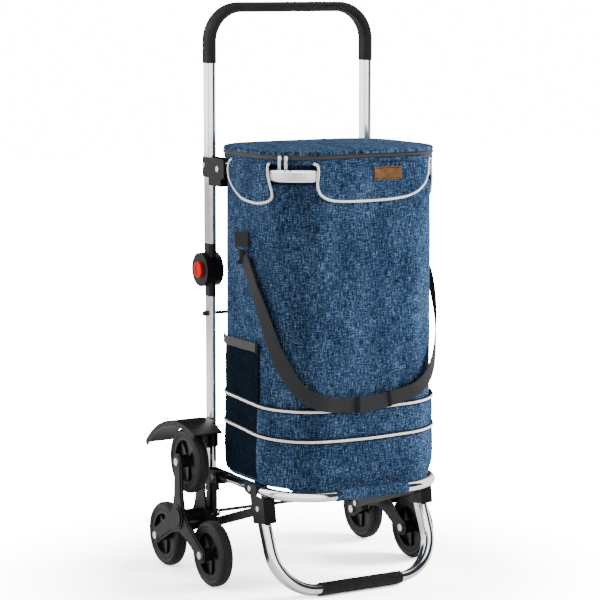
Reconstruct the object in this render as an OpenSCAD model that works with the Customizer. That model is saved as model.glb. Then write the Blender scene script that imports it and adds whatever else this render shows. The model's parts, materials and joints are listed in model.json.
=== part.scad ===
// Folding stair-climbing shopping trolley: two-tube back frame, folding handle,
// hanging bag, folding platform with a support foot and two three-wheel carriers.
// Units are millimetres. X is to the right, the bag faces -Y, Z is up and the floor is Z = 0.

/* [Frame] */
// Distance between the two frame tubes, centre to centre
tube_pitch = 330; // [324:1:332]
// Height of the handle above the floor
handle_top = 1050; // [1030:1:1080]
// Height of the folding hub axis
hub_z = 565; // [560:1:570]
// Width of the lower frame tube
low_a = 13; // [12:0.5:14]
// Depth of the lower frame tube
low_b = 25; // [24:0.5:26]
// Width of the upper handle tube
up_a = 15; // [14:0.5:15]
// Depth of the upper handle tube
up_b = 30; // [28:0.5:30]
// Tube wall thickness
wall = 1.5; // [1.2:0.1:2]

/* [Wheels] */
// Radius of each road wheel
wheel_r = 60; // [56:1:60]
// Distance from the axle to each wheel centre
star_r = 104; // [102:1:104]
// Width of each tyre
tyre_w = 24.5; // [20:0.5:25]
// Number of rim spokes
spokes = 5; // [5:1:6]

/* [Bag] */
// Width of the bag body
bag_w = 342; // [338:1:343]
// Corner radius of the bag body
bag_r = 88; // [80:1:90]
// Height of the bag opening above the floor
bag_top = 774; // [772:1:776]
// Thickness of the bag walls
cloth = 3.5; // [3:0.1:4]

/* [Hidden] */
$fn = 64;
px = tube_pitch / 2;

gap = 0.05;
axle_y = -8;
axle_z = star_r * 0.5 + wheel_r;
hub_y = 10;
hub_r = 31;
// pivots of the folding platform, side view: A frame, C and D foot, B brace
ay = -26; az = 184;
by = 2; bz = 92;
tie_y = 20.5; tie_z = 107.5;
cy = -169; cz = 190.5;
dy = -199; dz = 159;
leg_z = 190;
leg_r = 8.75;
hoop_front = -296;
top_z = 753.5;
top_py = -53;
top_front = -272;
u_in = 190;
u_out = 235;
u_mid = 214.5;
back_y = axle_y + star_r * cos(30) + wheel_r;
y0 = -(hoop_front - leg_r - 1.6 + back_y) / 2;
lean = 24.3;
foot_y = -255;
foot_z = 12.6;

module at() { translate([0, y0, 0]) children(); }
module left() { mirror([1, 0, 0]) children(); }
module both() { children(); mirror([1, 0, 0]) children(); }

// flat-oval section: a wide in X, b long in Y
module oval(a, b) {
  if (b > a) {
    square([a, b - a], center = true);
    translate([0, (b - a) / 2]) circle(d = a);
    translate([0, -(b - a) / 2]) circle(d = a);
  } else circle(d = a);
}
module oval_tube(a, b, t) {
  difference() { oval(a, b); oval(a - 2 * t, b - 2 * t); }
}
// cylinder along X from x0 to x1 at (y, z)
module rod(x0, x1, y, z, r) {
  translate([x0, y, z]) rotate([0, 90, 0]) cylinder(r = r, h = x1 - x0);
}
// plate lying in the side plane: 2D shape is (Y, Z), from x0 to x1
module side_plate(x0, x1) {
  translate([x0, 0, 0]) rotate([90, 0, 90]) linear_extrude(x1 - x0) children();
}
// rounded rectangle from y = back to y = front (both negative towards the front)
module plan(w, back, front, r) {
  d = back - front;
  translate([0, (back + front) / 2]) {
    square([w - 2 * r, d], center = true);
    square([w, d - 2 * r], center = true);
    for (sx = [-1, 1], sy = [-1, 1])
      translate([sx * (w / 2 - r), sy * (d / 2 - r)]) circle(r = r, $fn = 96);
  }
}
module ring(w, back, front, r, t) {
  difference() { plan(w, back, front, r); plan(w - 2 * t, back - t, front + t, r - t); }
}

// ---------------- frame ----------------
module lower_tube() {
  color("silver") at() difference() {
    translate([px, 0, 84.5]) linear_extrude(517 - 84.5) oval_tube(low_a, low_b, wall);
    rod(px - 20, px + 20, axle_y, axle_z, 4.05);
    rod(px - 20, px + 20, by, bz, 3.05);
    rod(px - 20, px + 20, 0, 485, 3.05);
  }
}
module lower_tube_left() left() lower_tube();
module lower_tube_right() lower_tube();

module base_socket() {
  color("dimgray") at() difference() {
    union() {
      translate([px, 0, 81]) linear_extrude(118) oval(low_a + 2, low_b + 2);
      // two ears that carry the platform pivot
      for (x = [px - 10.5, px + 7.2]) side_plate(x, x + 3.3) {
        translate([ay, az]) circle(r = 12);
        translate([ay, az - 12]) square([24, 24]);
        translate([-11, az - 30]) square([15, 42]);
      }
      // rear lug that holds the tie rod
      side_plate(px - 4, px + 4) translate([4, tie_z - 8]) square([22, 16]);
    }
    rod(px - 20, px + 20, tie_y, tie_z, 3.05);
    translate([px, 0, 84.3]) linear_extrude(200) oval(low_a + 0.1, low_b + 0.1);
    rod(px - 20, px + 20, axle_y, axle_z, 4.05);
    rod(px - 20, px + 20, by, bz, 3.05);
    rod(px - 20, px + 20, ay, az, 3.05);
  }
}
module base_socket_left() left() base_socket();
module base_socket_right() base_socket();

module axle() {
  color("gray") at() {
    // one stub through each socket, so that the braces can fold up between them
    both() rod(px - 9.9, u_out + 4, axle_y, axle_z, 4);
    both() rod(px - 9.9, px - 7.6, axle_y, axle_z, 7);
  }
}
module cross_rod() {
  color("dimgray") at() {
    rod(-px - 13, px + 13, 0, 485, 3);
    both() rod(px + low_a / 2 + 0.3, px + low_a / 2 + 5.3, 0, 485, 5);
    both() rod(px + low_a / 2 + 4, px + low_a / 2 + 9, 0, 485, 4);
    // tie rod behind the sockets
    rod(-px - 6, px + 6, tie_y, tie_z, 3);
    both() rod(px + 4.2, px + 6.5, tie_y, tie_z, 5.5);
  }
}

module mudguard() {
  color("dimgray") at() {
    // curved shell over the wheels, turned about the axle
    translate([0, axle_y, axle_z]) rotate([0, 90, 0]) rotate([0, 0, 90 + 42])
      rotate_extrude(angle = 70, $fn = 96) {
        translate([175, 182]) square([3.5, 58]);
        translate([169, 236.5]) square([9.5, 3.5]);
      }
    // web that joins the shell to the clamp on the tube
    side_plate(px + 9.2, px + 18.5) intersection() {
      polygon([[-20, 238], [20, 238], [22, 276], [44, 300], [-44, 300], [-22, 262]]);
      translate([axle_y, axle_z]) circle(r = 178.4, $fn = 96);
    }
    difference() {
      translate([px, 0, 238]) linear_extrude(37) oval(low_a + 8, low_b + 6);
      translate([px, 0, 200]) linear_extrude(100) oval(low_a + 0.1, low_b + 0.1);
    }
  }
}
module mudguard_left() left() mudguard();
module mudguard_right() mudguard();

module hub_lower() {
  color("dimgray") at() difference() {
    union() {
      rod(px + 0.25, px + 17, hub_y, hub_z, hub_r);
      // plug inside the lower tube and neck below the drum
      translate([px, 0, 498]) linear_extrude(19.5) oval(low_a - 2 * wall - 0.1, low_b - 2 * wall - 0.1);
      difference() {
        translate([px, 0, 517.1]) linear_extrude(hub_z - 22 - 517.1) oval(low_a + 0.6, low_b + 0.6);
        rod(px - 20, px + 0.26, hub_y, hub_z, hub_r + 0.5);
      }
    }
    // button seat and shaft bore
    rod(px + 9, px + 18, hub_y, hub_z, 15.4);
    rod(px - 1, px + 7.02, hub_y, hub_z, 5.02);
  }
}
module hub_lower_left() left() hub_lower();
module hub_lower_right() hub_lower();

module hub_upper() {
  color("dimgray") at() difference() {
    union() {
      rod(px - 17, px - 0.25, hub_y, hub_z, hub_r);
      translate([px, 0, 613.5]) linear_extrude(19.5) oval(up_a - 2 * wall - 0.1, up_b - 2 * wall - 0.1);
      difference() {
        translate([px, 0, hub_z + 24]) linear_extrude(613.9 - hub_z - 24) oval(up_a, up_b);
        rod(px - 0.26, px + 20, hub_y, hub_z, hub_r + 0.5);
      }
    }
    rod(px - 18, px + 1, hub_y, hub_z, 5 + gap);
  }
}
module hub_upper_left() left() hub_upper();
module hub_upper_right() hub_upper();

module hub_pins() {
  color("silver") at() both() {
    rod(px - 18, px + 7, hub_y, hub_z, 5);
    rod(px - 20.4, px - 17.4, hub_y, hub_z, 9);
  }
}
module button() {
  color("red") at() difference() {
    rod(px + 13.3, px + 22, hub_y, hub_z, 15);
    rod(px + 21, px + 23, hub_y, hub_z, 10);
  }
}
module button_left() left() button();
module button_right() button();

module frame_rivets() {
  color("silver") at() both() {
    // platform pivot
    rod(px - 11.5, px + 11.5, ay, az, 3);
    rod(px + 10.9, px + 12.6, ay, az, 5);
    rod(px - 12.6, px - 10.9, ay, az, 5);
    // brace pivot
    rod(px - 17, px + 9, by, bz, 3);
    rod(px + 7.9, px + 9.8, by, bz, 5);
    rod(px - 18.6, px - 16.4, by, bz, 5);
    rod(px - 10.5, px - 8, by, bz, 5);
  }
}

// ---------------- handle ----------------
hand_r = 62;
module u_path(a, b, t, z0, z1) {
  w = px; zt = z1 - hand_r;
  for (s = [-1, 1]) translate([s * w, 0, z0]) linear_extrude(zt - z0) oval_tube(a, b, t);
  u_top(a, b, t, z1);
}
module u_top(a, b, t, z1) {
  zt = z1 - hand_r;
  for (s = [0, 1]) mirror([s, 0, 0]) translate([px - hand_r, 0, zt]) rotate([90, 0, 0])
    rotate_extrude(angle = 90, $fn = 96) translate([hand_r, 0]) oval_tube(a, b, t);
  translate([-(px - hand_r), 0, z1]) rotate([0, 90, 0])
    linear_extrude(2 * (px - hand_r)) oval_tube(a, b, t);
}
handle_z = handle_top - 1.5 - up_a / 2;
module handle_tube() {
  color("silver") at() difference() {
    u_path(up_a, up_b, wall, 614, handle_z);
    // screw of the hoop bracket
    rod(-px - 20, -px, 0, top_z + 4, 2.55);
    rod(px, px + 20, 0, top_z + 4, 2.55);
  }
}
module handle_grip() {
  color("black") at() {
    t = 1.4;
    for (s = [-1, 1]) translate([s * px, 0, 941]) linear_extrude(handle_z - hand_r - 941)
      oval_tube(up_a + 3, up_b + 3, t);
    u_top(up_a + 3, up_b + 3, t, handle_z);
  }
}
module hoop_brackets() {
  color("dimgray") at() both() difference() {
    union() {
      // outer side plate
      side_plate(px + 8.2, px + 12.2) {
        translate([-70, 736]) square([72, 36]);
        translate([-76, 741]) square([78, 26]);
        translate([-70, 742]) circle(r = 6);
        translate([-70, 766]) circle(r = 6);
      }
      // inner side plate
      side_plate(px - 12.2, px - 8.2) {
        translate([-70, 736]) square([72, 36]);
        translate([-76, 741]) square([78, 26]);
      }
      // stop block under the hoop leg, joining the plates
      translate([px - 12.2, -64, 722]) cube([24.4, 46, 18]);
      // clamp around the handle tube
      translate([px, 0, 736]) linear_extrude(36) oval(up_a + 5, up_b + 5);
    }
    translate([px, 0, 700]) linear_extrude(100) oval(up_a + 0.1, up_b + 0.1);
    rod(px - 14, px + 14, top_py, top_z, 3);
    rod(px, px + 14, 0, top_z + 4, 2.55);
  }
}
module hoop_rivets() {
  color("silver") at() both() {
    rod(px - 12.6, px + 12.6, top_py, top_z, 2.98);
    rod(px + 12.4, px + 14, top_py, top_z, 5.5);
    rod(px - 14, px - 12.4, top_py, top_z, 5.5);
    rod(px + 5.4, px + 12.6, 0, top_z + 4, 2.5);
    rod(px + 12.4, px + 13.6, 0, top_z + 4, 4.5);
  }
}

// flat-oval U lying flat: legs from y = yb to the front bar at y = yf
module flat_u(a, b, t, yb, yf, r, w, z) {
  for (s = [0, 1]) mirror([s, 0, 0]) {
    translate([w, yb, z]) rotate([90, 0, 0]) linear_extrude(yb - yf - r) oval_tube(a, b, t);
    translate([w - r, yf + r, z]) rotate([0, 0, -90]) rotate_extrude(angle = 90, $fn = 96)
      translate([r, 0]) oval_tube(a, b, t);
  }
  translate([-(w - r), yf, z]) rotate([90, 0, 90]) linear_extrude(2 * (w - r)) oval_tube(a, b, t);
}
module top_hoop() {
  color("silver") at() difference() {
    union() {
      flat_u(12, 25, 1.5, top_py - 8, top_front, 80, px, top_z);
      both() rod(px - 6, px + 6, top_py, top_z, 12.4);
    }
    both() rod(px - 8, px + 8, top_py, top_z, 3 + gap);
  }
}

// ---------------- platform ----------------
module platform_hoop() {
  color("silver") at() difference() {
    flat_u(2 * leg_r, 2 * leg_r, 1.5, -46, hoop_front, 88, px, leg_z);
    both() rod(px - 20, px + 20, cy, cz, 3);
  }
}
module hoop_plugs() {
  color("dimgray") at() both() difference() {
    union() {
      rod(px - 6.9, px + 6.9, ay, az, 11);
      translate([px - 6.9, -50, az - 9]) cube([13.8, 24, 19]);
      translate([px, -48, leg_z]) rotate([90, 0, 0]) cylinder(r = 10, h = 24);
    }
    translate([px, -45.9, leg_z]) rotate([90, 0, 0]) cylinder(r = leg_r + 0.05, h = 40);
    rod(px - 10, px + 10, ay, az, 3 + gap);
  }
}
module platform_sleeve() {
  color("steelblue") at() difference() {
    rod(-74, 74, hoop_front, leg_z, leg_r + 1.6);
    rod(-80, 80, hoop_front, leg_z, leg_r + 0.1);
  }
}
module foot_rivets() {
  color("silver") at() both() {
    rod(px - 12.4, px + 12.4, cy, cz, 2.98);
    rod(px + 12.1, px + 13.6, cy, cz, 5);
    rod(px - 13.6, px - 12.1, cy, cz, 5);
  }
}

// ---------------- foot ----------------
// local frame: origin at the foot bar, Z up the leaning legs
module foot_frame() { translate([0, foot_y, foot_z]) rotate([-lean, 0, 0]) children(); }
foot_r = 80;
foot_len = 172;
module foot_u(a, b, t, len) {
  for (s = [0, 1]) mirror([s, 0, 0]) {
    translate([px, 0, foot_r]) linear_extrude(len - foot_r) oval_tube(a, b, t);
    translate([px - foot_r, 0, foot_r]) rotate([-90, 0, 0]) rotate_extrude(angle = 90, $fn = 96)
      translate([foot_r, 0]) oval_tube(a, b, t);
  }
  translate([-(px - foot_r), 0, 0]) rotate([0, 90, 0])
    linear_extrude(2 * (px - foot_r)) oval_tube(a, b, t);
}
module foot_tube() {
  color("silver") at() difference() {
    foot_frame() foot_u(18, 30, 1.5, foot_len);
    // top of each leg is cut upright so that it clears the hoop when folded
    translate([-200, -178.3, 120]) cube([400, 60, 80]);
    both() rod(px - 20, px + 20, dy, dz, 2.5);
  }
}
module foot_sleeve() {
  color("black") at() difference() {
    foot_frame() translate([-84, 0, 0]) rotate([0, 90, 0]) linear_extrude(168) oval(22, 34);
    foot_frame() translate([-90, 0, 0]) rotate([0, 90, 0]) linear_extrude(180) oval(18.1, 30.1);
    // flat strip that stands on the floor
    translate([-100, foot_y - 60, -20]) cube([200, 120, 20]);
  }
}
module bracket_outline() {
  polygon([
    [-147, 199.6], [-191, 199.6], [-192, 181], [-218, 178], [-224.5, 136], [-182, 129.5],
    [-175.5, 158], [-170, 178], [-149, 182]
  ]);
}
module foot_brackets() {
  color("dimgray") at() both() difference() {
    union() {
      side_plate(px - 11.8, px - 9.2) bracket_outline();
      side_plate(px + 9.2, px + 11.8) bracket_outline();
      // front web in front of the leg
      side_plate(px - 11.8, px + 11.8) polygon([
        [-218, 178], [-224.5, 136], [-222, 135.6], [-215.4, 177.7]
      ]);
    }
    rod(px - 20, px + 20, cy, cz, 3 + gap);
    rod(px - 20, px + 20, dy, dz, 2.5);
    foot_frame() translate([px, 0, 20]) linear_extrude(foot_len - 19.9) oval(18.1, 30.1);
  }
}
module foot_studs() {
  color("silver") at() both() {
    rod(px - 11.8, px + 12.2, dy, dz, 2.48);
    rod(px + 12, px + 13.5, dy, dz, 5);
  }
}
module brace() {
  color("dimgray") at() {
    dir = atan2(dz - bz, -(dy - by));
    len = sqrt((dz - bz) * (dz - bz) + (dy - by) * (dy - by));
    difference() {
      translate([0, by, bz]) rotate([-dir, 0, 0]) translate([0, -by, -bz]) {
        side_plate(px - 16, px - 12.6) {
          translate([by, bz]) circle(r = 8);
          translate([by - len, bz]) circle(r = 8);
          translate([by - len, bz - 8]) square([len, 16]);
        }
      }
      rod(px - 20, px, by, bz, 3 + gap);
    }
  }
}
module brace_left() left() brace();
module brace_right() brace();

// ---------------- wheel carriers ----------------
function hub_pos(k) = [axle_y + star_r * cos(90 + 120 * k), axle_z + star_r * sin(90 + 120 * k)];
module star_shape(rc, rt, wc, wt) {
  translate([axle_y, axle_z]) {
    circle(r = rc);
    for (k = [0 : 2]) rotate(90 + 120 * k) {
      translate([star_r, 0]) circle(r = rt);
      polygon([[0, -wc], [star_r * 0.4, -wt - 2], [star_r, -wt], [star_r, wt], [star_r * 0.4, wt + 2], [0, wc]]);
    }
  }
}
module star_inner() {
  color("dimgray") at() difference() {
    union() {
      side_plate(u_in, u_in + 4) star_shape(28, 15, 26, 14);
      rod(px + 10.6, u_out - 0.5, axle_y, axle_z, 13);
    }
    rod(px, 300, axle_y, axle_z, 4 + gap);
    for (k = [0 : 2]) rod(px, 300, hub_pos(k)[0], hub_pos(k)[1], 4.02);
  }
}
module star_outer() {
  color("dimgray") at() {
    difference() {
      union() {
        side_plate(u_out, u_out + 4) star_shape(28, 15, 26, 14);
        side_plate(u_out + 3.5, u_out + 5.5) star_shape(24, 11, 20, 9);
      }
      rod(px, 300, axle_y, axle_z, 4 + gap);
      for (k = [0 : 2]) rod(px, 300, hub_pos(k)[0], hub_pos(k)[1], 4.02);
    }
    // centre cap, which closes the bore over the axle's end
    rod(u_out + 5.3, u_out + 7.4, axle_y, axle_z, 22.5);
    rod(u_out + 7.3, u_out + 9.5, axle_y, axle_z, 17.5);
  }
}
module star_bolts() {
  color("silver") at() {
    for (k = [0 : 2]) {
      p = hub_pos(k);
      rod(u_in - 3, u_out + 8, p[0], p[1], 4);
      rod(u_out + 5.6, u_out + 8.6, p[0], p[1], 7);
      rod(u_in - 4, u_in - 0.1, p[0], p[1], 7);
    }
  }
}
module star_inner_left() left() star_inner();
module star_outer_left() left() star_outer();
module star_bolts_left() left() star_bolts();
module star_inner_right() star_inner();
module star_outer_right() star_outer();
module star_bolts_right() star_bolts();

module rim_at(p) {
  color("dimgray") at() translate([u_mid, p[0], p[1]]) rotate([0, 90, 0]) difference() {
    union() {
      translate([0, 0, -19.5]) cylinder(r = 12, h = 39);
      // web between the spokes
      translate([0, 0, -1.2]) cylinder(r = 39, h = 2.4);
      rotate_extrude($fn = 96) translate([38.5, 0]) {
        translate([0, -10]) square([2.5, 20]);
        translate([0, -2]) square([7.4, 4]);
      }
      for (k = [0 : spokes - 1]) rotate([0, 0, 360 / spokes * k])
        translate([10, -4, -5]) cube([29.5, 8, 10]);
    }
    translate([0, 0, -30]) cylinder(r = 4 + gap, h = 60);
  }
}
module tyre_at(p) {
  color("black") at() translate([u_mid, p[0], p[1]]) rotate([0, 90, 0])
    rotate_extrude($fn = 128) difference() {
      union() {
        translate([41.1, -tyre_w / 2 + 2]) square([11, tyre_w - 4]);
        translate([41.1, -tyre_w / 2 + 8]) square([wheel_r - 41.1, tyre_w - 16]);
        translate([wheel_r - 8, tyre_w / 2 - 8]) circle(r = 8);
        translate([wheel_r - 8, -tyre_w / 2 + 8]) circle(r = 8);
      }
      translate([40, -2.1]) square([5.95, 4.2]);
    }
}
module rim_left_top() left() rim_at(hub_pos(0));
module tyre_left_top() left() tyre_at(hub_pos(0));
module rim_left_front() left() rim_at(hub_pos(1));
module tyre_left_front() left() tyre_at(hub_pos(1));
module rim_left_back() left() rim_at(hub_pos(2));
module tyre_left_back() left() tyre_at(hub_pos(2));
module rim_right_top() rim_at(hub_pos(0));
module tyre_right_top() tyre_at(hub_pos(0));
module rim_right_front() rim_at(hub_pos(1));
module tyre_right_front() tyre_at(hub_pos(1));
module rim_right_back() rim_at(hub_pos(2));
module tyre_right_back() tyre_at(hub_pos(2));

// ---------------- bag ----------------
bb = -7;      // back of the body
bf = -280;    // front of the body
nw = 300;     // width of the neck inside the top hoop
sh = 716;     // height of the shoulder below the neck
nf = -263.5;  // front of the neck
module neck_plan() plan(nw - 2 * cloth, bb - cloth, nf + cloth, 72);
module bag_body() {
  color("steelblue") at() {
    translate([0, 0, 200.5]) linear_extrude(3.5) plan(bag_w, bb, bf, bag_r);
    translate([0, 0, 203.9]) linear_extrude(sh - 3.1 - 203.9) ring(bag_w, bb, bf, bag_r, cloth);
  }
}
// shoulder, neck and the hem that carries the zip, sewn on top of the body
module bag_neck() {
  color("steelblue") at() {
    translate([0, 0, sh - 3]) linear_extrude(3) difference() {
      plan(bag_w, bb, bf, bag_r);
      neck_plan();
    }
    translate([0, 0, sh - 0.1]) linear_extrude(bag_top + 3 - sh) ring(nw, bb, nf, 76, cloth);
    translate([0, 0, bag_top]) linear_extrude(8) difference() {
      plan(348, -3, -284, 88);
      neck_plan();
    }
  }
}
module base_board() {
  color("gray") at() translate([0, 0, 204.3]) linear_extrude(3)
    plan(bag_w - 2 * cloth - 8, bb - cloth - 4, bf + cloth + 4, bag_r - 8);
}
// shell just outside the body, cut to a window seen from the front or from the side
module shell(w, back, front, r, t, z0, z1) {
  translate([0, 0, z0]) linear_extrude(z1 - z0) ring(w, back, front, r, t);
}
module bag_pockets() {
  color("steelblue") at() {
    // front pocket wraps the front and both front corners
    intersection() {
      shell(bag_w + 6.4, bb + 3.2, bf - 3.2, bag_r + 3.2, 3, 206, 344);
      translate([-200, -320, 200]) cube([400, 122, 200]);
    }
    // open side pockets
    both() intersection() {
      shell(bag_w + 6.4, bb + 3.2, bf - 3.2, bag_r + 3.2, 3, 206, 452);
      translate([100, -197, 200]) cube([120, 150, 300]);
    }
  }
}
module front_outline() {
  hull_w = 124;
  translate([-hull_w, 748]) square([2 * hull_w, 30]);
  translate([-hull_w + 42, 706]) square([2 * hull_w - 84, 44]);
  for (s = [-1, 1]) translate([s * (hull_w - 42), 748]) circle(r = 42, $fn = 96);
}
module side_outline() {
  translate([-236, 748]) square([150, 30]);
  translate([-198, 704]) square([74, 46]);
  translate([-198, 742]) circle(r = 38, $fn = 96);
  translate([-124, 742]) circle(r = 38, $fn = 96);
}
// front flap and the two side flaps, hanging from the hem over the top hoop
module flaps() {
  color("steelblue") at() {
    intersection() {
      shell(352, -2.7, -284, 90, 3, 700, 773.6);
      translate([0, -200, 0]) rotate([90, 0, 0]) linear_extrude(120) front_outline();
    }
    both() intersection() {
      shell(352, -2.7, -284, 90, 3, 700, 773.6);
      side_plate(140, 200) side_outline();
    }
  }
}
module zip_track() {
  color("gray") at() translate([0, 0, bag_top + 8.1]) linear_extrude(3.4)
    ring(348, -3, -284, 88, 12);
}
module zip_sliders() {
  color("silver") at() for (s = [-1, 1])
    translate([-86, -196, 0]) rotate([0, 0, -50 + 3.6 * s]) {
      translate([-3, -92.2, bag_top + 3]) cube([6, 3.9, 9]);
      translate([-2.2, -94, bag_top - 9]) cube([4.4, 1.9, 20]);
    }
}
module label_patch() {
  color("chocolate") at() translate([10, -286, 743]) cube([56, 1.6, 23]);
}
// strap hangs as a sagging loop from hook to hook around the front
module strap_front() {
  polygon([
    [-178, 470], [-150, 412], [-120, 376], [-80, 346], [-40, 336], [0, 334],
    [40, 336], [80, 346], [120, 376], [150, 412], [178, 470],
    [178, 515], [150, 447], [120, 407], [80, 372], [40, 361],
    [0, 359], [-40, 361], [-80, 372], [-120, 407], [-150, 447], [-178, 515]
  ]);
}
module strap_side() {
  polygon([
    [-152, 590], [-178, 590], [-206, 520], [-232, 462], [-232, 420], [-192, 500], [-164, 566]
  ]);
}
module shoulder_strap() {
  color("dimgray") at() {
    intersection() {
      shell(bag_w + 14, bb + 7, bf - 7, bag_r + 7, 2, 300, 600);
      translate([0, -228, 0]) rotate([90, 0, 0]) linear_extrude(100) strap_front();
    }
    both() intersection() {
      shell(bag_w + 14, bb + 7, bf - 7, bag_r + 7, 2, 300, 600);
      side_plate(100, 200) strap_side();
    }
  }
}
module strap_hooks() {
  color("dimgray") at() both() {
    translate([171.3, -170, 640]) cube([2.4, 26, 10]);
    translate([173.6, -168, 628]) cube([1.6, 22, 22]);
    difference() {
      translate([173.4, -166, 594]) cube([4.4, 18, 36]);
      translate([173, -161.5, 612]) cube([6, 9, 11]);
    }
  }
}
module lid_panel() {
  color("steelblue") at() {
    translate([0, 0, bag_top + 11.8]) linear_extrude(3.2) ring(348, -3, -284, 88, 12);
    translate([0, 0, bag_top + 14.9]) linear_extrude(3.6) plan(350, -2, -285, 89);
    translate([0, 0, bag_top + 18.4]) linear_extrude(1.6) plan(330, -12, -275, 79);
  }
}

lower_tube_left();
lower_tube_right();
base_socket_left();
base_socket_right();
axle();
cross_rod();
mudguard_left();
mudguard_right();
hub_lower_left();
hub_lower_right();
hub_pins();
frame_rivets();
handle_tube();
handle_grip();
hub_upper_left();
hub_upper_right();
hoop_brackets();
hoop_rivets();
button_left();
button_right();
top_hoop();
platform_hoop();
hoop_plugs();
platform_sleeve();
foot_rivets();
foot_tube();
foot_sleeve();
foot_brackets();
foot_studs();
brace_left();
brace_right();
star_inner_left();
star_outer_left();
star_bolts_left();
star_inner_right();
star_outer_right();
star_bolts_right();
rim_left_top();
tyre_left_top();
rim_left_front();
tyre_left_front();
rim_left_back();
tyre_left_back();
rim_right_top();
tyre_right_top();
rim_right_front();
tyre_right_front();
rim_right_back();
tyre_right_back();
bag_body();
bag_neck();
bag_pockets();
flaps();
zip_track();
zip_sliders();
label_patch();
shoulder_strap();
strap_hooks();
base_board();
lid_panel();
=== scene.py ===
"""Looks of the folding shopping trolley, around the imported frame."""

import json
import math

import bpy
import numpy as np
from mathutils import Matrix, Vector, geometry, noise


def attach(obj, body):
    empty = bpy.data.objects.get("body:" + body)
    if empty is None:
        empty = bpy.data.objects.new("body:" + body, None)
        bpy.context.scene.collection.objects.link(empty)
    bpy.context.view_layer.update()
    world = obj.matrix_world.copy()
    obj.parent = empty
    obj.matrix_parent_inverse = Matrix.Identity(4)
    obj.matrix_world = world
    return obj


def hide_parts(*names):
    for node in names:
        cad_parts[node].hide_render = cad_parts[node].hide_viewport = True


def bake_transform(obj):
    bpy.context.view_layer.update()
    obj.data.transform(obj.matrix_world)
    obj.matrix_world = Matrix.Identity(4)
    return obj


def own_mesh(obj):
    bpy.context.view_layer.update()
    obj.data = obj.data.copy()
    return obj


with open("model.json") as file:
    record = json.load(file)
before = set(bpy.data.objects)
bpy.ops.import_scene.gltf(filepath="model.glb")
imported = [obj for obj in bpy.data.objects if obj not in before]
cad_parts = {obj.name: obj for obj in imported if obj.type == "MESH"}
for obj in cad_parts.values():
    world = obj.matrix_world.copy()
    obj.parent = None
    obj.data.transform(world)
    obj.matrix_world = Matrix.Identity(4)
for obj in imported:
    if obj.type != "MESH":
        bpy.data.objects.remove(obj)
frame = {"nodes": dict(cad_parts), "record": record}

scene = bpy.context.scene


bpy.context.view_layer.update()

_b = frame["nodes"]["base_board"]
_c = np.array([list(_b.matrix_world @ v.co) for v in _b.data.vertices]) * 1000
BOARD_BOX = (_c.min(0).tolist(), _c.max(0).tolist())

# ---------------------------------------------------------------- camera
cam_data = bpy.data.cameras.new("camera")
cam_data.sensor_width = 36
cam_data.lens = 138.2
cam_data.clip_end = 50
cam_data.dof.use_dof = False
camera = bpy.data.objects.new("camera", cam_data)
scene.collection.objects.link(camera)
camera.location = (-2.1108, -3.6208, 1.0936)
look = Vector((0.0181, 0.0717, 0.4973)) - camera.location
camera.rotation_euler = look.to_track_quat("-Z", "Y").to_euler()
scene.camera = camera

# ---------------------------------------------------------------- helpers
Y0 = 82.142  # the row frame's Y of the tube plane, in mm


def mm(p):
    """Points in mm, with Y from the tube plane, as metres in the row frame."""
    p = np.asarray(p, float).reshape(-1, 3)
    return (p + np.array([0, Y0, 0])) / 1000


def add(name, verts, faces, mat, uv=None, smooth=True, sharp=40):
    me = bpy.data.meshes.new(name)
    me.from_pydata(mm(verts).tolist(), [], [tuple(int(i) for i in f) for f in faces])
    if uv is not None:
        a = me.attributes.new("weave", "FLOAT_VECTOR", "POINT")
        w = np.zeros((len(me.vertices), 3), np.float32)
        w[:, :2] = np.asarray(uv, float).reshape(-1, 2) / 1000
        a.data.foreach_set("vector", w.ravel())
    me.materials.append(mat)
    me.update()
    if smooth:
        me.shade_smooth()
        if sharp:
            me.set_sharp_from_angle(angle=math.radians(sharp))
    obj = bpy.data.objects.new(name, me)
    scene.collection.objects.link(obj)
    return obj


R, HW, BACK, FRONT = 88.0, 171.0, -7.0, -280.0  # plan of the bag body
LEGS = [
    HW - R,
    math.pi / 2 * R,
    BACK - FRONT - 2 * R,
    math.pi / 2 * R,
    2 * (HW - R),
    math.pi / 2 * R,
    BACK - FRONT - 2 * R,
    math.pi / 2 * R,
    HW - R,
]
ENDS = np.concatenate([[0], np.cumsum(LEGS)])
PERIM = ENDS[-1]


def ring(s):
    """Points and outward normals of the body's plan at arc length s from the middle of the back, going left first."""
    s = np.asarray(s, float)
    a, yb, yf = HW - R, BACK - R, FRONT + R
    x, y, nx, ny = (np.zeros_like(s) for _ in range(4))

    def put(m, px, py, qx, qy):
        x[m], y[m], nx[m], ny[m] = px, py, qx, qy

    k = np.clip(np.searchsorted(ENDS, s, side="right") - 1, 0, 8)
    t = s - ENDS[k]
    for i in range(9):
        m = k == i
        u = t[m]
        an = u / R
        if i == 0:
            put(m, -u, BACK, 0, 1)
        elif i == 1:
            put(m, -a - R * np.sin(an), yb + R * np.cos(an), -np.sin(an), np.cos(an))
        elif i == 2:
            put(m, -HW, yb - u, -1, 0)
        elif i == 3:
            put(m, -a - R * np.cos(an), yf - R * np.sin(an), -np.cos(an), -np.sin(an))
        elif i == 4:
            put(m, -a + u, FRONT, 0, -1)
        elif i == 5:
            put(m, a + R * np.sin(an), yf - R * np.cos(an), np.sin(an), -np.cos(an))
        elif i == 6:
            put(m, HW, yf + u, 1, 0)
        elif i == 7:
            put(m, a + R * np.cos(an), yb + R * np.sin(an), np.cos(an), np.sin(an))
        else:
            put(m, a - u, BACK, 0, 1)
    return x, y, nx, ny


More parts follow.
